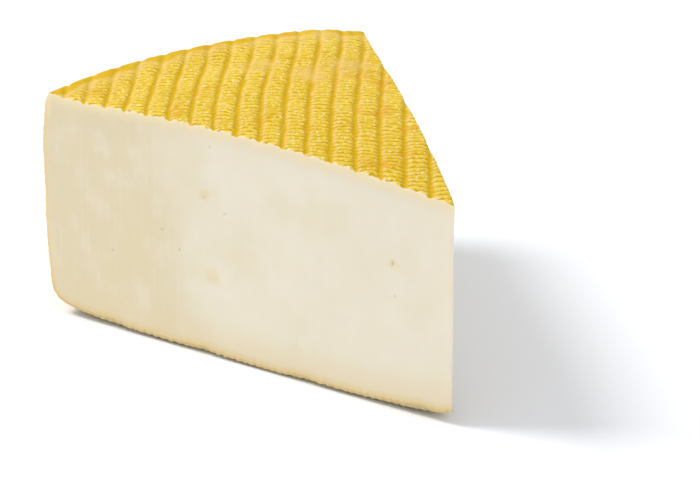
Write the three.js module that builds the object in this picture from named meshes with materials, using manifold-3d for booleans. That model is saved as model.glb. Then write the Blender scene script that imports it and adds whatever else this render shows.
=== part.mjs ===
// A wedge of cheese: an eighth of a low, round wheel, cut straight down from its rim to its centre.
//
// Lengths are in millimetres, with +Z up. The wedge rests on the XY plane with the origin under the
// middle of its length. Its tip, which was the wheel's centre, points along -Y, and the rind side,
// which was part of the wheel's rim, faces +Y.

import * as THREE from 'three';
import { mergeVertices } from 'three/addons/utils/BufferGeometryUtils.js';
import Module from 'manifold-3d';

// The wheel. Its top is a low arch inside a shallow brim, and its side bulges above half height.
const WHEEL_RADIUS = 140;
const WIDEST_HEIGHT = 49;
const CENTRE_TOP = 64.6;

// The underside is lifted a little at the centre and near the rim. Between these radii it is flat,
// and that ring is what the wheel, and the wedge cut from it, rest on.
const CENTRE_LIFT = 1.7;
const FLAT_INNER_RADIUS = 36;
const FLAT_OUTER_RADIUS = 106;

// Where the section bends, as radius and height. Each corner is rounded off between its neighbours.
const FOOT = new THREE.Vector2( 131, 1.6 );
const FOOT_CORNER = new THREE.Vector2( 137.8, 2.5 );
const SIDE_BOTTOM = new THREE.Vector2( 138.4, 9.6 );
const SIDE_TOP = new THREE.Vector2( 139.2, 62 );
const SHOULDER_CORNER = new THREE.Vector2( 138.8, 67 );
const SHOULDER = new THREE.Vector2( 135.3, 67 );
const BRIM_CORNER = new THREE.Vector2( 126, 66.4 );
const BRIM = new THREE.Vector2( 118, 67 );
const CROWN_CORNER = new THREE.Vector2( 62, 71.4 );

// The cut.
const WEDGES_IN_A_WHEEL = 8;
const WEDGE_ANGLE = ( 2 * Math.PI ) / WEDGES_IN_A_WHEEL;
const KNIFE_CLEARANCE = 10; // the cutting shape reaches this far past the wheel

// Facets. 120 round the wheel puts one on +Y, and the cuts fall halfway along others.
const WHEEL_FACETS = 120;
const CURVE_FACETS = 10;

const RIND_COLOUR = 0xe6c041;

// Half of the wheel's section, from the centre of the underside round to the centre of the top.
function wheelProfile() {

	const profile = new THREE.Path();
	const roundOff = ( corner, end ) => profile.quadraticCurveTo( corner.x, corner.y, end.x, end.y );
	const point = ( radius, height ) => new THREE.Vector2( radius, height );

	profile.moveTo( 0, CENTRE_LIFT );
	roundOff( point( FLAT_INNER_RADIUS / 2, 0 ), point( FLAT_INNER_RADIUS, 0 ) );
	profile.lineTo( FLAT_OUTER_RADIUS, 0 );
	roundOff( point( ( FLAT_OUTER_RADIUS + FOOT.x ) / 2, 0 ), FOOT );
	roundOff( FOOT_CORNER, SIDE_BOTTOM );
	const widest = point( WHEEL_RADIUS, WIDEST_HEIGHT );
	roundOff( point( WHEEL_RADIUS, ( SIDE_BOTTOM.y + WIDEST_HEIGHT ) / 2 ), widest );
	roundOff( point( WHEEL_RADIUS, ( WIDEST_HEIGHT + SIDE_TOP.y ) / 2 ), SIDE_TOP );
	roundOff( SHOULDER_CORNER, SHOULDER );
	roundOff( BRIM_CORNER, BRIM );
	roundOff( CROWN_CORNER, point( 0, CENTRE_TOP ) );
	return profile.getPoints( CURVE_FACETS );

}

// A whole wheel, standing on the XY plane with its centre on the Z axis.
function wheelGeometry() {

	const geometry = new THREE.LatheGeometry( wheelProfile(), WHEEL_FACETS );
	geometry.rotateX( Math.PI / 2 );
	return geometry;

}

// What the knife leaves: a triangle from the wheel's centre out past the rim, taller than the wheel.
function cutGeometry() {

	const reach = WHEEL_RADIUS + KNIFE_CLEARANCE;
	const halfWidth = reach * Math.tan( WEDGE_ANGLE / 2 );
	const outline = new THREE.Shape();
	outline.moveTo( 0, 0 );
	outline.lineTo( halfWidth, reach );
	outline.lineTo( - halfWidth, reach );
	outline.closePath();

	const depth = CROWN_CORNER.y + 2 * KNIFE_CLEARANCE;
	const geometry = new THREE.ExtrudeGeometry( outline, { depth, bevelEnabled: false } );
	geometry.translate( 0, 0, - KNIFE_CLEARANCE );
	return geometry;

}

const wasm = await Module();
wasm.setup();

function solidFrom( geometry ) {

	geometry.deleteAttribute( 'normal' );
	geometry.deleteAttribute( 'uv' );
	const closed = mergeVertices( geometry );
	return new wasm.Manifold( new wasm.Mesh( {
		numProp: 3,
		vertProperties: closed.attributes.position.array,
		triVerts: Uint32Array.from( closed.index.array ),
	} ) );

}

function geometryFrom( solid ) {

	const { vertProperties, triVerts } = solid.getMesh();
	const geometry = new THREE.BufferGeometry();
	geometry.setAttribute( 'position', new THREE.BufferAttribute( vertProperties, 3 ) );
	geometry.setIndex( new THREE.BufferAttribute( triVerts, 1 ) );
	geometry.computeVertexNormals();
	return geometry;

}

const wedgeSolid = solidFrom( wheelGeometry() ).intersect( solidFrom( cutGeometry() ) );

const wedge = new THREE.Mesh(
	geometryFrom( wedgeSolid ),
	new THREE.MeshStandardMaterial( { color: RIND_COLOUR, roughness: 0.5, metalness: 0 } ),
);
wedge.name = 'cheese_wedge';
wedge.position.y = - WHEEL_RADIUS / 2;

const cheese = new THREE.Group();
cheese.add( wedge );

export default cheese;
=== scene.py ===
# %% [markdown]
# # A wedge of cheese with a cloth-marked rind
#
# The object is an eighth of a low wheel of semi-hard cheese, cut from the rim to the centre.
# It shows two finishes. Outside is the rind: the cheese's own dried skin, golden and waxy, and
# pressed into ribs by the cloth that the wheel drained in. Inside is the paste: moist, cream
# coloured and almost smooth where the knife went through.
#
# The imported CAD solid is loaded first. It fixes the size and the place of everything here.

# %% Load the frame
import math
import random

import bmesh
import bpy
import numpy as np
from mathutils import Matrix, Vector
from mathutils.geometry import delaunay_2d_cdt
from mathutils.kdtree import KDTree


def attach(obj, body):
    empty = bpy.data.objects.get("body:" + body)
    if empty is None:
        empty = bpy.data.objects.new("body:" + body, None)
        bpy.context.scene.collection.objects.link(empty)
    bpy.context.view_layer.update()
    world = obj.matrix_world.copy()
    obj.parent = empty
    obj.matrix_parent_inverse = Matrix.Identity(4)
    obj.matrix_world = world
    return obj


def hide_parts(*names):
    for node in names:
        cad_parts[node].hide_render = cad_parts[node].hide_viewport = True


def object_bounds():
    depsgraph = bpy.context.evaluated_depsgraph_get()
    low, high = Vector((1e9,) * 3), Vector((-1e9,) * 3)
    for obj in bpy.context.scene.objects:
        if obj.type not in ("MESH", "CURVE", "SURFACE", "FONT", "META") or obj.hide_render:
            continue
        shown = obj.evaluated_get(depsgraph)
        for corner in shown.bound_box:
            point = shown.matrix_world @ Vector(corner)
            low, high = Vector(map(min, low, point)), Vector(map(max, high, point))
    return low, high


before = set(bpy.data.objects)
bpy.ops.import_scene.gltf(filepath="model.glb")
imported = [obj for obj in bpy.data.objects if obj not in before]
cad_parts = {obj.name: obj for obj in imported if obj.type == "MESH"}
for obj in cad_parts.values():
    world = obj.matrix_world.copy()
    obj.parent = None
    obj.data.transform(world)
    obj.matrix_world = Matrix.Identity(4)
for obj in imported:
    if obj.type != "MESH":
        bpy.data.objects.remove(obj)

cad_low, cad_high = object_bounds()
print("CAD box, m:", tuple(cad_low), tuple(cad_high))

# %% [markdown]
# ## The wheel's own measures
#
# Blender works in metres, but cheese is easier to think of in millimetres, so the shapes below
# are worked out in millimetres and scaled once, when a mesh is made. The wedge runs from the
# wheel's centre to its rim, so the length of the CAD box is the wheel's radius.

# %% Measures
MM = 0.001
TAU = 2 * math.pi
wheel_radius = (cad_high.y - cad_low.y) / MM
wheel_centre_y = cad_low.y / MM
crown_top = cad_high.z / MM
half_wedge = TAU / 16
print("wheel radius %.1f mm, top of the crown %.1f mm" % (wheel_radius, crown_top))

# %% [markdown]
# ## The camera
#
# A long lens far away keeps the upright tip of the wedge upright. The camera stands to the
# left of the tip and looks down on the top, so that one cut face is seen almost square on.

# %% Camera
CAMERA_AZIMUTH = math.radians(-32.5)
CAMERA_ELEVATION = math.radians(22.55)
CAMERA_DISTANCE = 1263
CAMERA_AIM = Vector((6.9, -7.5, 27.7))
FOCAL_LENGTH = 233.2

camera_data = bpy.data.cameras.new("camera")
camera_data.sensor_width = 36
camera_data.lens = FOCAL_LENGTH
camera_data.clip_end = 20
camera = bpy.data.objects.new("camera", camera_data)
bpy.context.scene.collection.objects.link(camera)
bpy.context.scene.camera = camera

sight = Vector((
    -math.sin(CAMERA_AZIMUTH) * math.cos(CAMERA_ELEVATION),
    math.cos(CAMERA_AZIMUTH) * math.cos(CAMERA_ELEVATION),
    -math.sin(CAMERA_ELEVATION),
))
camera.location = (CAMERA_AIM - sight * CAMERA_DISTANCE) * MM
camera.rotation_euler = sight.to_track_quat("-Z", "Y").to_euler()
print("camera at, m:", tuple(round(c, 3) for c in camera.location))

# %% [markdown]
# ## The section of the wheel
#
# A wheel of cheese is round, so one section through it says nearly everything: a low crown
# on top, a shallow brim, a tight shoulder, a side that bulges above its middle, a rounded
# foot and a flat underside. The section is a chain of soft bends. Each bend leaves one point,
# heads for a corner that it never touches, and lands on the next point.

# %% Section
CENTRE_TOP = 64.6
CROWN_CORNER = (62, 71.4)
BRIM = (118, 67)
BRIM_CORNER = (126, 66.4)
SHOULDER = (135.3, 67)
SHOULDER_CORNER = (138.8, 67)
SIDE_TOP = (139.2, 62)
WIDEST_HEIGHT = 49
SIDE_BOTTOM = (138.4, 9.6)
FOOT_CORNER = (137.8, 2.5)
FOOT = (131, 1.6)
FLAT_OUTER_RADIUS = 106
FLAT_INNER_RADIUS = 36
CENTRE_LIFT = 1.7


def bend(start, corner, end, steps=60):
    t = np.linspace(0, 1, steps)[:, None]
    start, corner, end = (np.array(p, float) for p in (start, corner, end))
    return (1 - t) ** 2 * start + 2 * t * (1 - t) * corner + t**2 * end


widest = (wheel_radius, WIDEST_HEIGHT)
section_parts = [
    bend((0, CENTRE_TOP), CROWN_CORNER, BRIM),
    bend(BRIM, BRIM_CORNER, SHOULDER),
    bend(SHOULDER, SHOULDER_CORNER, SIDE_TOP),
    bend(SIDE_TOP, (wheel_radius, (SIDE_TOP[1] + WIDEST_HEIGHT) / 2), widest),
    bend(widest, (wheel_radius, (SIDE_BOTTOM[1] + WIDEST_HEIGHT) / 2), SIDE_BOTTOM),
    bend(SIDE_BOTTOM, FOOT_CORNER, FOOT),
    bend(FOOT, ((FOOT[0] + FLAT_OUTER_RADIUS) / 2, 0), (FLAT_OUTER_RADIUS, 0)),
    bend((FLAT_OUTER_RADIUS, 0), (FLAT_INNER_RADIUS, 0), (FLAT_INNER_RADIUS, 0)),
    bend((FLAT_INNER_RADIUS, 0), (FLAT_INNER_RADIUS / 2, 0), (0, CENTRE_LIFT)),
]
section = np.vstack([part[:-1] for part in section_parts] + [section_parts[-1][-1:]])
section_length = np.concatenate([[0], np.cumsum(np.hypot(*np.diff(section, axis=0).T))])
part_ends = np.cumsum([len(part) - 1 for part in section_parts])
crown_end, shoulder_end = section_length[part_ends[1]], section_length[part_ends[2]]
side_end, foot_end = section_length[part_ends[4]], section_length[part_ends[5]]
whole_length = section_length[-1]
print("section: crown %.0f mm, side to %.0f mm, underside to %.0f mm"
      % (crown_end, side_end, whole_length))


def on_section(distance):
    """Radius, height and outward direction of the section at a distance from the top centre."""
    radius = np.interp(distance, section_length, section[:, 0])
    height = np.interp(distance, section_length, section[:, 1])
    near = 0.4
    ends = np.clip([distance - near, distance + near], 0, whole_length)
    run = np.diff(np.interp(ends, section_length, section[:, 0]), axis=0)[0]
    rise = np.diff(np.interp(ends, section_length, section[:, 1]), axis=0)[0]
    length = np.hypot(run, rise)
    return radius, height, -rise / length, run / length


# %% [markdown]
# ## Uneven by hand, the same every time
#
# Nothing on a cheese is perfectly straight or even. `drift` adds up a few sine waves that
# run in different directions. It gives a smooth, wandering value near -1 to 1, and because
# its random numbers are seeded, every run draws the same cheese.

# %% Helpers for soft, seeded unevenness
def drift(x, y, size, seed, waves=9):
    draw = random.Random(seed)
    total = np.zeros(np.broadcast(x, y).shape)
    for _ in range(waves):
        heading = draw.uniform(0, TAU)
        wavelength = size * draw.uniform(0.7, 1.7)
        start = draw.uniform(0, TAU)
        total += np.sin(TAU * (x * math.cos(heading) + y * math.sin(heading)) / wavelength + start)
    return total / math.sqrt(waves)


def ease(value, low, high):
    """0 below low, 1 above high, and a smooth rise between them."""
    t = np.clip((value - low) / (high - low), 0, 1)
    return t * t * (3 - 2 * t)


# %% [markdown]
# ## What the cloth leaves behind
#
# The wheel was pressed in a ribbed cloth. Each rib is a low round ridge with a narrow valley
# beside it, and across the ribs lie the threads, which show as short creases. The press
# rubs some places smooth, and in others the dye has run together. The ribs and threads are
# real relief, under a millimetre deep, so they are drawn in the mesh, and the light finds
# them by itself; the rind's colours also add painted shade in the valleys and creases and
# painted highlights on the thread crests and on the flank of each rib that faces the lamp.
# A second set of threads runs along the ribs, about a millimetre apart. It is too fine for
# this mesh, so `dash` only breaks the creases unevenly.
#
# `cloth_marks` takes places on the rind in millimetres and gives back how deep in a valley each
# place lies, from 0 to 1, where it is in the weave, from -1 in a crease to 1 on a thread's
# print, how worn it is, and how far it is on the side of a rib that faces the lamp, where a
# highlight is painted. The relief and the colours both come from these marks.

# %% Cloth marks
RIB_ANGLE = math.radians(55.3)
RIB_PITCH = 6.8
RIB_DEPTH = 0.6
RIB_GATHER = 0.00008  # the ribs lie closer together as they leave the tip
RIB_FAN = 0.00097  # far from the tip they also fan out, because the cloth was pulled askew
RIB_TURN = 0.035  # and near it they turn a little
FAN_BEYOND = 60
TURN_BEFORE = 60
FIRST_GROOVE = 21.8
STRAIGHT_RIB = 28
VALLEY_WIDTH = 0.95
THREAD_PITCH = 2.35
THREAD_DEPTH = 0.44
WORN_PLACES = ((18, 96, 9), (31, 99, 8), (8, 112, 7))  # where the press rubbed, and how far, in mm
DYED_PLACES = ((26, 92, 6), (32, 85, 8), (14, 62, 6))  # and where the dye ran together


def near_a_place(x, y, places):
    """1 in the middle of the nearest place and 0 beyond its reach."""
    gaps = [np.hypot(x - place_x, y - place_y) / reach for place_x, place_y, reach in places]
    return 1 - ease(np.min(gaps, axis=0), 0.45, 1.3)


def cloth_marks(x, y, seed):
    along = x * math.cos(RIB_ANGLE) + y * math.sin(RIB_ANGLE)
    across = y * math.cos(RIB_ANGLE) - x * math.sin(RIB_ANGLE)
    fanned = RIB_FAN * (across - STRAIGHT_RIB) * np.maximum(along - FAN_BEYOND, 0)
    turned = RIB_TURN * np.maximum(TURN_BEFORE + (across - STRAIGHT_RIB) / 2 - along, 0)
    wander = 0.12 * drift(along, across, 30, seed) + 0.09 * drift(along, across, 7, seed + 1)
    across = across + fanned + turned + wander

    past_groove = across - FIRST_GROOVE
    turn = past_groove / RIB_PITCH + RIB_GATHER * past_groove**2
    rib = np.floor(turn)
    over = turn - rib
    to_groove = np.minimum(over, 1 - over) * RIB_PITCH
    width = VALLEY_WIDTH * (1 + 0.2 * drift(along, across, 12, seed + 6))
    valley = np.exp(-((to_groove / width) ** 2))
    crown = np.sin(math.pi * over) ** 0.5
    # the side of each rib that faces the lamp, where the rind paints a highlight
    flank = np.exp(-(((over - 0.84) / 0.12) ** 2))

    shift = 0.37 * np.sin(rib * 12.9898)
    bow = 0.35 * (over - 0.45) ** 2
    phase = along / THREAD_PITCH + shift + bow + 0.3 * drift(along, across, 16, seed + 2)
    phase = phase + 0.06 * drift(along, across * 1.6, 3.4, seed + 3)
    dash = np.clip(0.9 + 0.3 * drift(along * 0.8, across * 1.5, 2.4, seed + 4, 14), 0.2, 1.2)
    thread = 1 - 2 * (0.5 + 0.5 * np.cos(TAU * phase)) ** 1.7
    # the rind paints a highlight on the thread crests and shade in the creases from this mark
    weave = thread * dash * ease(crown, -0.25, 0.7)

    rubbed = np.clip(0.75 + 0.4 * drift(along, across, 9, seed + 5), 0, 1)
    worn = near_a_place(x, y, WORN_PLACES) * rubbed
    return valley * (1 - 0.45 * worn), weave * (1 - 0.7 * worn), worn, flank


# %% [markdown]
# ## Laying out the skin
#
# The skin is laid in rows that run round the wheel, from the centre of the top, out over the
# shoulder, down the side and back under the wedge. Rows near the tip are short, so they get
# few points and the rows at the rim get many. That keeps every triangle about the same size.
# The top is seen closest, so its points lie closest.
#
# The knife edge at the tip isn't razor sharp on soft cheese. Its rounding is drawn by the
# first rows, which end on a small arc and not yet on the cut faces.

# %% Skin rows
TOP_STEP = 0.36
SIDE_STEP = 0.75
UNDER_STEP = 0.85
TIP_ROUNDING = 0.15
TIP_STEPS = 4

tip_arc_centre = TIP_ROUNDING / math.sin(half_wedge)
tip_angles = np.linspace(0, TAU / 4 - half_wedge, TIP_STEPS + 1)
tip_x = TIP_ROUNDING * np.sin(tip_angles)
tip_y = tip_arc_centre - TIP_ROUNDING * np.cos(tip_angles)
tip_radii = np.hypot(tip_x, tip_y)
tip_spread = np.arctan2(tip_x, tip_y)


def step_at(distance):
    if distance < shoulder_end + 1:
        return TOP_STEP
    if distance < foot_end:
        return SIDE_STEP
    return UNDER_STEP


def row_distances():
    """Where the rows lie along the section, the rounded tip's rows included at both ends."""
    distances = [tip_radii[-1]]
    last = whole_length - tip_radii[-1]
    while distances[-1] + 1.5 * step_at(distances[-1]) < last:
        distances.append(distances[-1] + step_at(distances[-1]))
    tip_rows = list(tip_radii[:-1])
    return tip_rows + distances + [last] + [whole_length - r for r in reversed(tip_rows)]


rows_at = np.array(row_distances())
row_radius, row_height, row_out, row_up = on_section(rows_at)
spread = np.full(len(rows_at), half_wedge)
spread[: TIP_STEPS + 1] = tip_spread
spread[-TIP_STEPS - 1:] = tip_spread[::-1]
row_counts = [
    max(1, round(2 * angle * radius / step_at(distance)))
    for angle, radius, distance in zip(spread, row_radius, rows_at)
]
row_counts[0] = row_counts[-1] = 0
print("skin rows:", len(rows_at), "skin points:", sum(row_counts) + len(row_counts))

# %% [markdown]
# ## The skin's relief
#
# The ribs run straight across the top and die out a little way down the side, which is why
# the rim looks notched. The cloth's threads stop short of the shoulder, where the press rubs
# the skin smooth. The side was wrapped in a band of the same cloth, so it has upright and
# level threads of its own. The rib tops keep to the CAD surface and everything else lies
# below it, so the finished wedge never leaves the box that the CAD solid fixed.

# %% The side's cloth band
BAND_DEPTH = 0.3
WRINKLE_DEPTH = 0.15


def creases(places, pitch):
    """1 in the creases between threads of this pitch, and 0 on the threads."""
    return 1 - np.abs(np.sin(math.pi * places / pitch)) ** 0.8


def band_marks(round_rim, height):
    upright = creases(round_rim + 0.8 * drift(round_rim, height, 15, 21), THREAD_PITCH)
    level = creases(height + 0.8 * drift(round_rim, height, 12, 22), THREAD_PITCH)
    return np.maximum(upright, 0.8 * level)


# %% [markdown]
# ## Where the skin was cut
#
# A cut edge is never quite crisp on cheese. On top, the knife drags the rind down a little and
# tears crumbs from it, and the point droops. Underneath, the edge curls up a little.
# `EDGE_CURL` gives places along that edge, in millimetres from the tip, and how far the edge
# stands off the table there. At one corner of the rim the crown has sunk a little.

# %% Relief along the cut
KNIFE_DRAG = 0.2
DRAG_REACH = 0.9  # how far from the cut, as for every reach here
CRUMB_DEPTH = 0.08
CRUMB_REACH = 0.5
EDGE_CURL = ((0, 1.3), (22, 1.4), (55, 0.7), (88, 1.0), (122, 1.2))
CURL_REACH = 3
TIP_DROOP = 0.35
TIP_CURL = 1.1
TIP_REACH = 5
CORNER_SINK = 1.7
CORNER_REACH = 10


def near_cut(gap, reach):
    """1 on the cut and 0 beyond the reach."""
    return np.clip(1 - gap / reach, 0, 1)


def cut_relief(distance, angle, radius, height, under):
    """Depth of what the knife and drying did to the skin, and where it is torn, along one row."""
    cut_gap = radius * (half_wedge - np.abs(angle))
    above = 1 - under
    dragged = KNIFE_DRAG * above * near_cut(cut_gap, DRAG_REACH) ** 2
    curled = np.interp(radius, *np.transpose(EDGE_CURL))
    lifted = curled * under * near_cut(cut_gap, CURL_REACH) ** 2

    crumbly = above * ease(distance, 4, 18)
    crumbs = 1 + drift(radius, height, 1.5, 35, 14)
    ragged = CRUMB_DEPTH * crumbly * crumbs * near_cut(cut_gap, CRUMB_REACH)
    tear = 0.26 + 0.35 * drift(radius + 3 * height, cut_gap, 1.6, 36, 14)
    torn = crumbly * ease(tear - cut_gap, 0, 0.3)

    from_tip = min(distance, whole_length - distance)
    tip_depth = TIP_DROOP if distance < whole_length / 2 else TIP_CURL
    drooped = tip_depth * near_cut(from_tip, TIP_REACH) ** 2
    near_corner = ease(distance, 15, 110) * np.exp(-((cut_gap / CORNER_REACH) ** 2)) * (angle > 0)
    sunk = CORNER_SINK * above * near_corner
    return dragged + lifted + ragged + drooped + sunk, torn


# %% Relief of the whole skin
RIB_FADE = (-12, 8)  # the ribs fade between these distances inside the shoulder
THREAD_FADE = (0, 9)
BAND_FADE = (3, 10)
SKIN_PORES = 0.05


def skin_relief(distance, angle, radius, height):
    """Depth of the skin below the CAD surface, and its marks, along one row."""
    x, y = radius * np.sin(angle), radius * np.cos(angle)
    on_top = distance < (crown_end + foot_end) / 2
    if on_top:
        valley, weave, worn, flank = cloth_marks(x, y, seed=11)
        inside = crown_end - distance
    else:
        valley, weave, worn, flank = cloth_marks(-x + 3, y, seed=47)
        inside = distance - foot_end - 4
    ribs_left = ease(inside + 1.2 * drift(x, y, 16, 6), *RIB_FADE)
    threads_left = ease(inside + 1.5 * drift(x, y, 12, 5), *THREAD_FADE)
    band = ease(-inside, *BAND_FADE)

    round_rim = angle * wheel_radius
    band_crease = band_marks(round_rim, height) * band
    under = ease(distance, side_end, foot_end)
    cut_depth, torn = cut_relief(distance, angle, radius, height, under)

    valley = valley * ribs_left
    weave = weave * threads_left
    depth = (
        RIB_DEPTH * valley
        + THREAD_DEPTH / 2 * (1 - weave)
        + BAND_DEPTH * band_crease
        + WRINKLE_DEPTH * (1 + drift(round_rim, height * 1.3, 24, 33)) * band
        + SKIN_PORES * (1 + drift(x + height, y - height, 3.1, 31))
        + cut_depth
    )
    shown = ease(inside, 0, 14)
    dye_strength = np.clip(0.5 + 0.4 * drift(x, y, 8, 37), 0, 1)
    dyed = near_a_place(x, y, DYED_PLACES) * (1 - under) * dye_strength
    marks = (
        valley * (0.35 + 0.65 * shown), weave - 0.5 * band_crease, worn, flank * ribs_left,
        dyed, 1 - threads_left, torn, under,
    )
    return np.maximum(depth, 0), marks


# %% [markdown]
# ## Points with their marks
#
# Each point of the mesh gets a place and twelve marks. The first eight are about the skin and
# come from its relief. The last four are about the paste: how deep a place lies under the
# rind, how deep under the top, how far from the wheel's centre, and how stained it is. Points
# on the border between rind and paste carry both kinds, because both finishes meet there.

# %% Skin points
SKIN_MARKS = 8
NOT_SOAKED = 3.2  # the mark below_rind starts here on the crown, where no amber has soaked in


def first_below(distance):
    return NOT_SOAKED * (1 - ease(distance, crown_end - 3, shoulder_end + 4))


points = []
marks = []
rows = []


def add_points(places, place_marks):
    """Keeps new points with their marks, and gives back their numbers."""
    first = sum(len(block) for block in points)
    points.append(np.asarray(places, float))
    marks.append(np.asarray(place_marks, float))
    return np.arange(first, first + len(places))


for distance, angle, radius, height, out, up, count in zip(
    rows_at, spread, row_radius, row_height, row_out, row_up, row_counts
):
    angles = np.linspace(-angle, angle, count + 1) if count else np.zeros(1)
    depth, row_marks = skin_relief(distance, angles, radius, height)
    pushed = radius - out * depth
    lifted = height - up * depth
    places = np.column_stack([pushed * np.sin(angles), pushed * np.cos(angles), lifted])
    row_marks = (*row_marks, first_below(distance), max(0, distance - shoulder_end), radius, 0)
    row_marks = np.column_stack([np.broadcast_to(m, angles.shape) for m in row_marks])
    rows.append(add_points(places, row_marks))


def paste_marks(below_rind, below_top, from_centre, stained):
    """Marks of places on a cut face: none of the skin's own, then the four for the paste."""
    none = np.zeros((len(below_rind), SKIN_MARKS))
    return np.column_stack([none, below_rind, below_top, from_centre, stained])


skin_points = np.vstack(points)
print("lowest point of the skin: %.2f mm, highest: %.2f mm"
      % (skin_points[:, 2].min(), skin_points[:, 2].max()))

# %% [markdown]
# ## Joining the rows
#
# Two neighbouring rows rarely have the same number of points. `zip_rows` joins them as a
# zip does: it walks along both at once and always steps on the side that lags behind.

# %% Skin triangles
def zip_rows(first, second):
    triangles = []
    i = j = 0
    last_i, last_j = len(first) - 1, len(second) - 1
    while i < last_i or j < last_j:
        next_i = (i + 1) / last_i if i < last_i else 2
        next_j = (j + 1) / last_j if j < last_j else 2
        if next_i <= next_j:
            triangles.append((first[i], first[i + 1], second[j]))
            i += 1
        else:
            triangles.append((first[i], second[j + 1], second[j]))
            j += 1
    return triangles


skin_triangles = [t for a, b in zip(rows, rows[1:]) for t in zip_rows(a, b)]
print("skin triangles:", len(skin_triangles))

# %% [markdown]
# ## The tip
#
# Both cut faces end at the upright edge where the wheel's centre was. The edge is a narrow
# rounded strip. It hangs between the first rows of the top and the last rows of the underside,
# and it is paste, so it takes the cut faces' finish.

# %% Tip strip
TIP_STRIP_STEP = 1.5
TIP_LIP = 0.3  # the crown's tough skin stands proud of the paste below it
RIND_THICKNESS = {"top": 0.6, "side": 0.4, "under": 1.0}  # how fast the rind's colour fades inwards


def tip_chain(chain_rows):
    """Skin points round the tip's small arc, from the left cut face to the right one."""
    left = [row[0] for row in chain_rows[::-1]]
    right = [row[-1] for row in chain_rows[1:]]
    return np.array(left + right)


top_chain = tip_chain(rows[: TIP_STEPS + 1])
under_chain = tip_chain(rows[::-1][: TIP_STEPS + 1])
strip_steps = round(CENTRE_TOP / TIP_STRIP_STEP)
strip = [under_chain]
for step in range(1, strip_steps):
    t = step / strip_steps
    places = skin_points[under_chain] * (1 - t) + skin_points[top_chain] * t
    places[:, 1] += TIP_LIP * ease(1 - t, 0, 0.14)
    under_gap = places[:, 2] - skin_points[under_chain][:, 2]
    top_gap = skin_points[top_chain][:, 2] - places[:, 2]
    below_top = NOT_SOAKED + top_gap / RIND_THICKNESS["top"]
    below_rind = np.minimum(under_gap / RIND_THICKNESS["under"], below_top)
    none = np.zeros(len(places))
    strip.append(add_points(places, paste_marks(below_rind, top_gap, none, none)))
strip.append(top_chain)
strip_triangles = [t for a, b in zip(strip, strip[1:]) for t in zip_rows(a, b)]
print("tip strip rows:", len(strip))

# %% [markdown]
# ## The cut faces
#
# A cut face is flat, so its mesh can be drawn on paper: the outline that the skin leaves, a
# scatter of points inside it, and a triangulation of them all. The points lie close where the
# colour changes fast, under the rind, and round the pinholes, which are gas holes that the
# knife happened to open. A few faint stains lie among them.

# %% Places on a cut face
PINHOLES = [  # distance from the tip, height, half width and half height
    (75.8, 43.8, 0.7, 0.5),
    (97.3, 34.3, 0.8, 0.5),
    (91.5, 29.6, 0.5, 0.5),
    (19.8, 42.6, 0.6, 1.0),
    (19.1, 33.2, 0.5, 0.6),
    (82.9, 47.4, 0.5, 0.4),
    (52.0, 10.8, 0.5, 0.4),
    (115.1, 23.9, 0.5, 0.5),
    (80.6, 62.7, 0.5, 0.4),
]
STAINS = [(80.5, 24, 3), (19.8, 42.6, 1.6), (83, 48, 1.6)]  # place and reach
RINGS_PER_PINHOLE = ((0.4, 6), (0.75, 10), (1.1, 14), (1.8, 14))  # reach and number of points


def hole_distance(place, hole):
    """0 at the middle of a pinhole and 1 on its lip."""
    x, y, half_width, half_height = hole
    return np.hypot((place[:, 0] - x) / half_width, (place[:, 1] - y) / half_height)


def pinhole_rings(holes):
    """A centre and rings of points for each pinhole."""
    rings = []
    for x, y, half_width, half_height in holes:
        rings.append((x, y))
        for reach, count in RINGS_PER_PINHOLE:
            for turn in np.arange(count) / count * TAU:
                ring_x = x + reach * half_width * math.cos(turn)
                rings.append((ring_x, y + reach * half_height * math.sin(turn)))
    return np.array(rings)


def inside_outline(place, outline):
    """Counts how often a line from each place to the right crosses the outline."""
    x, y = place[:, 0][:, None], place[:, 1][:, None]
    x1, y1 = outline[:, 0], outline[:, 1]
    x2, y2 = np.roll(x1, -1), np.roll(y1, -1)
    rise = np.where(y2 == y1, 1, y2 - y1)
    crossed = ((y1 > y) != (y2 > y)) & (x < x1 + (x2 - x1) * (y - y1) / rise)
    return crossed.sum(axis=1) % 2 == 1


def nearest_on(outline, place):
    """Distance from each place to the nearest outline point, and that point's number."""
    tree = KDTree(len(outline))
    for i, (x, y) in enumerate(outline):
        tree.insert((x, y, 0), i)
    tree.balance()
    found = [tree.find((x, y, 0)) for x, y in place]
    return np.array([f[2] for f in found]), np.array([f[1] for f in found])


def scatter(outline, spacing, nearest, furthest, seed):
    """Loosely staggered places that lie between two distances inside the outline."""
    low, high = outline.min(axis=0), outline.max(axis=0)
    grid_x, grid_y = np.meshgrid(
        np.arange(low[0], high[0], spacing), np.arange(low[1], high[1], spacing * 0.87)
    )
    grid_x[1::2] += spacing / 2
    place = np.column_stack([grid_x.ravel(), grid_y.ravel()])
    place += np.random.default_rng(seed).uniform(-0.18, 0.18, place.shape) * spacing
    place = place[inside_outline(place, outline)]
    gap, _ = nearest_on(outline, place)
    return place[(gap >= nearest) & (gap < furthest)]


# %% One cut face
KNIFE_WANDER = 0.12
HOLE_DEPTH = 0.45  # as a share of the pinhole's smaller half width


def thickness_of_rind(distance):
    """How far the rind's colour reaches inwards, for places along the section."""
    to_side = ease(distance, crown_end - 2, shoulder_end + 8)
    to_under = ease(distance, side_end - 12, foot_end)
    side_share = RIND_THICKNESS["side"] - RIND_THICKNESS["top"]
    under_share = RIND_THICKNESS["under"] - RIND_THICKNESS["side"]
    return RIND_THICKNESS["top"] + side_share * to_side + under_share * to_under


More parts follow.
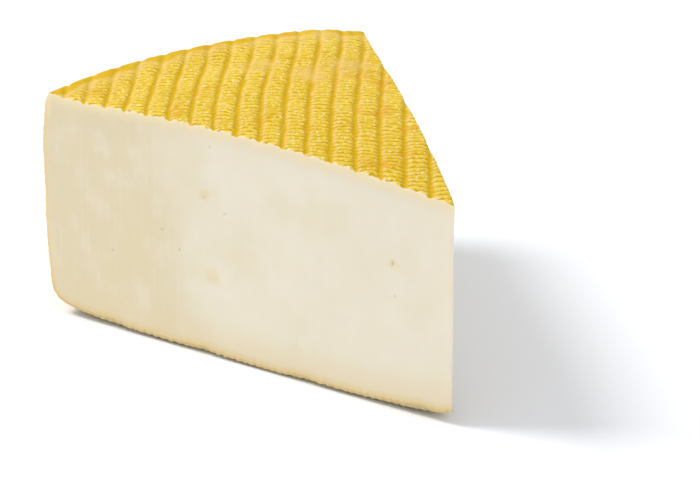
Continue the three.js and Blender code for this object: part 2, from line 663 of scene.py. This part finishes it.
def fill_outline(outline, holes, seed):
    """New places inside a cut face: closest under the rind and round the pinholes."""
    fill = np.vstack([
        scatter(outline, 0.75, 0.45, 1.5, seed),
        scatter(outline, 1.3, 1.5, 4.5, seed + 1),
        scatter(outline, 2.6, 4.5, wheel_radius, seed + 2),
    ])
    for hole in holes:
        fill = fill[hole_distance(fill, hole) > 2.3]
    return np.vstack([fill, pinhole_rings(holes)])


def knife_relief(fill, outline, holes, seed):
    """How far each place on a cut face lies behind the flat plane of the cut."""
    edge_gap, _ = nearest_on(outline, fill)
    waves = 1 + drift(fill[:, 0], fill[:, 1] * 0.3, 26, seed)
    sunk = KNIFE_WANDER * waves * ease(edge_gap, 0.5, 6)
    for hole in holes:
        dip = np.clip(1 - hole_distance(fill, hole) ** 2, 0, 1) ** 0.7
        sunk = sunk + HOLE_DEPTH * min(hole[2:]) * dip
    return sunk


def cut_face(side, holes, stains, seed):
    """Fills one cut face with new points and gives back its triangles. side is -1 or 1."""
    end = 0 if side < 0 else -1
    skin_rows = slice(TIP_STEPS, len(rows) - TIP_STEPS)
    rind_edge = np.array([row[end] for row in rows[skin_rows]])
    tip_edge = np.array([row[end] for row in strip[1:-1]])
    loop = np.concatenate([rind_edge, tip_edge])
    everything = np.vstack(points)
    outline = np.column_stack([np.hypot(*everything[loop, :2].T), everything[loop, 2]])

    fill = fill_outline(outline, holes, seed)
    gap, nearest = nearest_on(outline[: len(rind_edge)], fill)
    nearest_rind = rows_at[skin_rows][nearest]
    below_rind = first_below(nearest_rind) + gap / thickness_of_rind(nearest_rind)
    below_top = np.hypot(gap, np.maximum(nearest_rind - shoulder_end, 0))
    stained = near_a_place(*fill.T, stains)

    sunk = knife_relief(fill, outline, holes, seed)
    out_x, out_y = side * math.cos(half_wedge), -math.sin(half_wedge)
    places = np.column_stack([
        side * fill[:, 0] * math.sin(half_wedge) - out_x * sunk,
        fill[:, 0] * math.cos(half_wedge) - out_y * sunk,
        fill[:, 1],
    ])
    filled = add_points(places, paste_marks(below_rind, below_top, fill[:, 0], stained))

    numbers = np.concatenate([loop, filled])
    flat = [Vector(p) for p in np.vstack([outline, fill])]
    edges = [(i, (i + 1) % len(loop)) for i in range(len(loop))]
    _, _, faces, originals, _, _ = delaunay_2d_cdt(flat, edges, [], 1, 1e-6)
    return [tuple(numbers[originals[corner][0]] for corner in face) for face in faces]


left_face = cut_face(-1, PINHOLES, STAINS, seed=3)
right_holes = [(wheel_radius - x - 8, y, wide, tall) for x, y, wide, tall in PINHOLES[::2]]
right_stains = [(wheel_radius - x - 8, y, reach) for x, y, reach in STAINS[::2]]
right_face = cut_face(1, right_holes, right_stains, seed=8)
print("pinholes:", len(PINHOLES), len(right_holes), "stains:", len(STAINS), len(right_stains))
print("triangles on the cut faces:", len(left_face), len(right_face))

# %% [markdown]
# ## One closed mesh
#
# The skin, the two cut faces and the tip share their border points, so together they close
# into one solid, as the real wedge is one piece. Where rind meets paste the edge is marked
# sharp, because the knife leaves a crisp line there. The marks go along as attributes, which
# are numbers stored at each point that a material can read. The count of open edges that
# this prints should be 0.

# %% Build the mesh
MARK_NAMES = (
    "valley", "weave", "worn", "flank", "dyed", "smooth", "torn", "under",
    "below_rind", "below_top", "from_centre", "stained",
)
RIND, PASTE = 0, 1


def build_wedge():
    everything = np.vstack(points)
    everything[:, 1] += wheel_centre_y
    paste_triangles = left_face + right_face + strip_triangles
    triangles = [tuple(map(int, t)) for t in skin_triangles + paste_triangles]
    mesh = bpy.data.meshes.new("cheese_wedge")
    mesh.from_pydata((everything * MM).tolist(), [], triangles)
    finish = np.full(len(triangles), PASTE)
    finish[: len(skin_triangles)] = RIND
    mesh.polygons.foreach_set("material_index", finish)
    all_marks = np.vstack(marks)
    for column, name in enumerate(MARK_NAMES):
        attribute = mesh.attributes.new(name, "FLOAT", "POINT")
        attribute.data.foreach_set("value", all_marks[:, column])
    return mesh


def tidy_mesh(mesh):
    """Turns every face outwards and marks the knife's edge as sharp."""
    bm = bmesh.new()
    bm.from_mesh(mesh)
    bmesh.ops.recalc_face_normals(bm, faces=bm.faces)
    for face in bm.faces:
        face.smooth = True
    for edge in bm.edges:
        first, second = edge.link_faces
        edge.smooth = first.material_index == second.material_index
    open_edges = sum(not edge.is_manifold for edge in bm.edges)
    print("triangles: %d, open edges: %d, volume: %.0f ml"
          % (len(bm.faces), open_edges, bm.calc_volume() * 1e6))
    bm.to_mesh(mesh)
    bm.free()


wedge_mesh = build_wedge()
tidy_mesh(wedge_mesh)
wedge = bpy.data.objects.new("wedge", wedge_mesh)
bpy.context.scene.collection.objects.link(wedge)

# %% [markdown]
# ## Helpers for the finishes
#
# Colours are written as the sRGB hex values that a paint chart would give, and turned to the
# linear values that light adds up in. `node` adds one node with its settings and its links.
# `paint_over` is how a painter would work: it lays one colour over another, only where a mark
# or a noise is high enough, and never more thickly than it is told.

# %% Colour and node helpers
def linear(hex_colour):
    channels = [int(hex_colour[i: i + 2], 16) / 255 for i in (0, 2, 4)]
    return tuple(
        c / 12.92 if c <= 0.04045 else ((c + 0.055) / 1.055) ** 2.4 for c in channels
    ) + (1,)


def node(tree, kind, inputs=(), **settings):
    """Adds a node. An input is a value, or another node's output socket to link from."""
    added = tree.nodes.new(kind)
    for name, value in settings.items():
        setattr(added, name, value)
    for name, value in dict(inputs).items():
        if isinstance(value, bpy.types.NodeSocket):
            tree.links.new(value, added.inputs[name])
        else:
            added.inputs[name].default_value = value
    return added


def new_finish(name):
    """An empty material with its output, its surface shader and the piece's own coordinates."""
    material = bpy.data.materials.new(name)
    material.use_nodes = True
    tree = material.node_tree
    tree.nodes.clear()
    shader = node(tree, "ShaderNodeBsdfPrincipled")
    node(tree, "ShaderNodeOutputMaterial", {"Surface": shader.outputs["BSDF"]})
    place = node(tree, "ShaderNodeTexCoord").outputs["Object"]
    return material, tree, shader, place


def paint_over(tree, below, colour, where, start, full, most=1.0):
    """Lays a colour over another one: none where `where` is at start, `most` where it is full."""
    limits = {"Value": where, "From Min": start, "From Max": full, "To Max": most}
    share = node(tree, "ShaderNodeMapRange", limits, interpolation_type="SMOOTHSTEP").outputs["Result"]
    return node(tree, "ShaderNodeMix", {0: share, 6: below, 7: colour}, data_type="RGBA").outputs[2]


# %% [markdown]
# ## The rind
#
# This rind is cheese that has dried and been brushed with brine and annatto dye, then coated
# with a thin clear wax. The dye gathers in the valleys and creases, so they are a deep gold,
# and on top of the dye they carry painted shade. The thread prints that stand proud are
# rubbed pale and also carry a painted highlight on their crests. The flank of each rib that
# faces the lamp gets a paler painted highlight. Along the shoulder the cloth was drawn tight,
# and there the skin is smooth and amber, with a few browner and greener spots. Torn places
# along the cut show the cream inside. The underside is taken to have lain on a shelf, so it
# is painted duller.
#
# The attributes say where all of these are. Noise at four sizes, from blotches of a few
# centimetres down to a grain under a millimetre, keeps any two places different; the finest
# grain also scatters pale flecks, which are painted glints of the wax. The paints go on in
# order, from the widest ground colour to the smallest mark.

# %% Waxed rind
RIND_GOLD = linear("D9B51C")
RIND_STRAW = linear("E3C23E")
RIND_GLINT = linear("F4E2AC")
RIND_PRINT_HIGHLIGHT = linear("EACA4E")
RIND_VALLEY_DYE_AND_SHADE = linear("CEA700")
RIND_CREASE_DYE_AND_SHADE = linear("C29C00")
RIND_FLANK_HIGHLIGHT = linear("E2C184")
RIND_WORN = linear("E0B968")
RIND_AMBER = linear("D6AD00")
RIND_ORANGE = linear("D89C1C")
RIND_OLIVE = linear("C0A010")
RIND_RUST = linear("DA9F24")
TORN_CREAM = linear("EBDDB4")
RIND_SHELF = linear("C6BA98")


def rim_paint(tree, blotches, patches, specks):
    """The colour of the smooth skin that the tight cloth left along the shoulder."""
    rim = paint_over(tree, RIND_AMBER, RIND_ORANGE, patches, 0.5, 0.7, 0.4)
    rim = paint_over(tree, rim, RIND_STRAW, blotches, 0.55, 0.7, 0.4)
    return paint_over(tree, rim, RIND_OLIVE, specks, 0.55, 0.7, 0.7)


def waxed_rind():
    material, tree, shader, place = new_finish("waxed_rind")
    marked = {
        name: node(tree, "ShaderNodeAttribute", attribute_name=name).outputs["Fac"]
        for name in ("valley", "weave", "worn", "flank", "dyed", "smooth", "torn", "under")
    }
    blotches, patches, specks, grain = (
        node(
            tree, "ShaderNodeTexNoise", {"Vector": place, "Scale": 1 / (size * MM), "Detail": detail}
        ).outputs["Fac"]
        for size, detail in ((24, 2), (7, 2), (1.6, 2), (0.7, 3))
    )

    colour = paint_over(tree, RIND_GOLD, RIND_STRAW, blotches, 0.35, 0.65)
    # pale flecks on the finest grain: painted glints of the wax
    colour = paint_over(tree, colour, RIND_GLINT, grain, 0.51, 0.66, 0.85)
    # the flank of each rib that faces the lamp: a painted highlight
    colour = paint_over(tree, colour, RIND_FLANK_HIGHLIGHT, marked["flank"], 0.1, 1, 0.6)
    colour = paint_over(tree, colour, RIND_WORN, marked["worn"], 0, 1, 0.6)
    colour = paint_over(tree, colour, RIND_WORN, marked["smooth"], 0, 0.5, 0.5)
    rim = rim_paint(tree, blotches, patches, specks)
    colour = paint_over(tree, colour, rim, marked["smooth"], 0.72, 0.97, 0.92)
    # thread crests: rubbed paler, with a painted highlight on top
    colour = paint_over(tree, colour, RIND_PRINT_HIGHLIGHT, marked["weave"], 0.1, 0.9, 0.5)
    # creases between the threads: dye, darkened further with painted shade
    colour = paint_over(tree, colour, RIND_CREASE_DYE_AND_SHADE, marked["weave"], -0.1, -0.7, 0.95)
    # valleys between the ribs: dye, darkened further with painted shade
    colour = paint_over(tree, colour, RIND_VALLEY_DYE_AND_SHADE, marked["valley"], 0.15, 1, 0.92)
    colour = paint_over(tree, colour, RIND_ORANGE, patches, 0.6, 0.75, 0.5)
    colour = paint_over(tree, colour, RIND_RUST, marked["dyed"], 0.1, 0.9, 0.5)
    colour = paint_over(tree, colour, TORN_CREAM, marked["torn"], 0, 1, 0.7)
    colour = paint_over(tree, colour, RIND_SHELF, marked["under"], 0.6, 1, 0.8)
    tree.links.new(colour, shader.inputs["Base Color"])

    roughness = node(tree, "ShaderNodeMapRange", {"Value": grain, "To Min": 0.35, "To Max": 0.6})
    tree.links.new(roughness.outputs["Result"], shader.inputs["Roughness"])
    shader.inputs["IOR"].default_value = 1.45
    shader.inputs["Specular IOR Level"].default_value = 0.05
    shader.inputs["Subsurface Weight"].default_value = 0.12
    shader.inputs["Subsurface Radius"].default_value = (1.0, 0.7, 0.25)
    shader.inputs["Subsurface Scale"].default_value = 0.5 * MM
    bump = node(tree, "ShaderNodeBump", {"Height": grain, "Strength": 0.4, "Distance": 0.25 * MM})
    tree.links.new(bump.outputs["Normal"], shader.inputs["Normal"])
    return material


# %% [markdown]
# ## The paste
#
# Paste is the trade's word for the inside of a cheese. It is a moist gel of milk protein and
# fat, so light enters it and comes out again a few millimetres away, which softens it. The
# knife leaves it smooth, with faint upright streaks and clouds of slightly warmer colour. The
# outer third of the wheel has dried more and is a little warmer and darker, with an uneven
# border. Under the wedge, where the wheel stood on its shelf, the rind's amber reaches in, and
# right under the top runs a thin line of richer paste.

# %% Cut paste
PASTE_CREAM = linear("E5DDC8")
PASTE_DRY = linear("DDD0AF")
PASTE_WARM = linear("DFD0AC")
PASTE_PALE = linear("E9E3D4")
PASTE_TAN = linear("DEC892")
PASTE_RICH = linear("EDDCB2")
PASTE_RIM = linear("DCC99C")
PASTE_AMBER = linear("C8A866")
DRY_FROM = 72  # millimetres from the wheel's centre
DRY_FULLY = 106
CLOUD_WANDER = 40  # how far the clouds push that border to and fro, in millimetres


def cut_paste():
    material, tree, shader, place = new_finish("cut_paste")
    below_rind, below_top, from_centre, stained = (
        node(tree, "ShaderNodeAttribute", attribute_name=name).outputs["Fac"]
        for name in ("below_rind", "below_top", "from_centre", "stained")
    )
    clouds, curds = (
        node(
            tree, "ShaderNodeTexNoise", {"Vector": place, "Scale": 1 / (size * MM), "Detail": 3}
        ).outputs["Fac"]
        for size in (26, 8)
    )
    # the knife's streaks are finer than this on real cheese, but finer ones would not show
    drawn_out = node(tree, "ShaderNodeMapping", {"Vector": place, "Scale": (1, 1, 0.04)})
    streaks = node(
        tree, "ShaderNodeTexNoise",
        {"Vector": drawn_out.outputs["Vector"], "Scale": 1 / (1.1 * MM), "Detail": 3},
    ).outputs["Fac"]

    pushed_out = node(
        tree, "ShaderNodeMath", {0: clouds, 1: CLOUD_WANDER, 2: from_centre}, operation="MULTIPLY_ADD"
    ).outputs["Value"]
    middle = CLOUD_WANDER / 2  # the noise is a half on average
    colour = paint_over(
        tree, PASTE_CREAM, PASTE_DRY, pushed_out, DRY_FROM + middle, DRY_FULLY + middle
    )
    colour = paint_over(tree, colour, PASTE_WARM, clouds, 0.48, 0.75, 0.4)
    colour = paint_over(tree, colour, PASTE_PALE, curds, 0.45, 0.75, 0.35)
    colour = paint_over(tree, colour, PASTE_PALE, streaks, 0.5, 0.75, 0.15)
    colour = paint_over(tree, colour, PASTE_TAN, stained, 0, 1, 0.4)
    colour = paint_over(tree, colour, PASTE_WARM, below_rind, 12, 3, 0.6)
    colour = paint_over(tree, colour, PASTE_RICH, below_top, 4, 0, 0.6)
    colour = paint_over(tree, colour, PASTE_RIM, below_rind, 3.2, 0.8)
    colour = paint_over(tree, colour, PASTE_AMBER, below_rind, 1.2, 0.1, 0.8)
    tree.links.new(colour, shader.inputs["Base Color"])

    roughness = node(tree, "ShaderNodeMapRange", {"Value": curds, "To Min": 0.4, "To Max": 0.55})
    tree.links.new(roughness.outputs["Result"], shader.inputs["Roughness"])
    shader.inputs["IOR"].default_value = 1.44
    shader.inputs["Specular IOR Level"].default_value = 0.4
    shader.inputs["Subsurface Weight"].default_value = 0.6
    shader.inputs["Subsurface Radius"].default_value = (1.0, 0.85, 0.6)
    shader.inputs["Subsurface Scale"].default_value = 2 * MM
    bump = node(tree, "ShaderNodeBump", {"Height": streaks, "Strength": 0.15, "Distance": 0.2 * MM})
    tree.links.new(bump.outputs["Normal"], shader.inputs["Normal"])
    return material


wedge_mesh.materials.append(waxed_rind())
wedge_mesh.materials.append(cut_paste())
print("finishes:", [finish.name for finish in wedge_mesh.materials])

# %% [markdown]
# ## A studio for the wedge
#
# The wedge lies on white paper in an evenly lit white room. One soft box, high on the left
# and a little behind, rakes across the top and picks out the ribs. It is far enough away to
# light the whole wedge alike, and wide enough to give the shadow its soft edge.

# %% Floor, room and lamp
KEY_DIRECTION = Vector((-0.78, 0.18, 1)).normalized()  # right, away and up, seen from the camera
KEY_DISTANCE = 2600
KEY_SIZE = 1000
KEY_POWER = 38.5
ROOM_BRIGHTNESS = 0.765
FLOOR_SIZE = 6000

floor_mesh = bpy.data.meshes.new("floor")
half = FLOOR_SIZE / 2 * MM
corners = [(-half, -half, 0), (half, -half, 0), (half, half, 0), (-half, half, 0)]
floor_mesh.from_pydata(corners, [], [(0, 1, 2, 3)])
floor = bpy.data.objects.new("floor", floor_mesh)
bpy.context.scene.collection.objects.link(floor)
paper, _, paper_shader, _ = new_finish("white_paper")
paper_shader.inputs["Base Color"].default_value = linear("F5F7FC")
paper_shader.inputs["Roughness"].default_value = 0.9
floor_mesh.materials.append(paper)

room = bpy.data.worlds.new("white_room")
bpy.context.scene.world = room
room.use_nodes = True
room.node_tree.nodes["Background"].inputs["Color"].default_value = linear("FFFFFF")
room.node_tree.nodes["Background"].inputs["Strength"].default_value = ROOM_BRIGHTNESS

right = Vector((math.cos(CAMERA_AZIMUTH), math.sin(CAMERA_AZIMUTH), 0))
away = Vector((-math.sin(CAMERA_AZIMUTH), math.cos(CAMERA_AZIMUTH), 0))
towards_key = right * KEY_DIRECTION.x + away * KEY_DIRECTION.y + Vector((0, 0, KEY_DIRECTION.z))
key_data = bpy.data.lights.new("soft_box", "AREA")
key_data.shape = "DISK"
key_data.size = KEY_SIZE * MM
key_data.energy = KEY_POWER
key = bpy.data.objects.new("soft_box", key_data)
key.location = towards_key * KEY_DISTANCE * MM
key.rotation_euler = (-towards_key).to_track_quat("-Z", "Y").to_euler()
bpy.context.scene.collection.objects.link(key)
bpy.context.scene.view_settings.view_transform = "Standard"
print("soft box at, m:", tuple(round(c, 3) for c in key.location))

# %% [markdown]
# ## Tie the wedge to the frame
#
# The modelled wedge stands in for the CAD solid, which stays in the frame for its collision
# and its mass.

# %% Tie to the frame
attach(wedge, "root")
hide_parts("cheese_wedge")
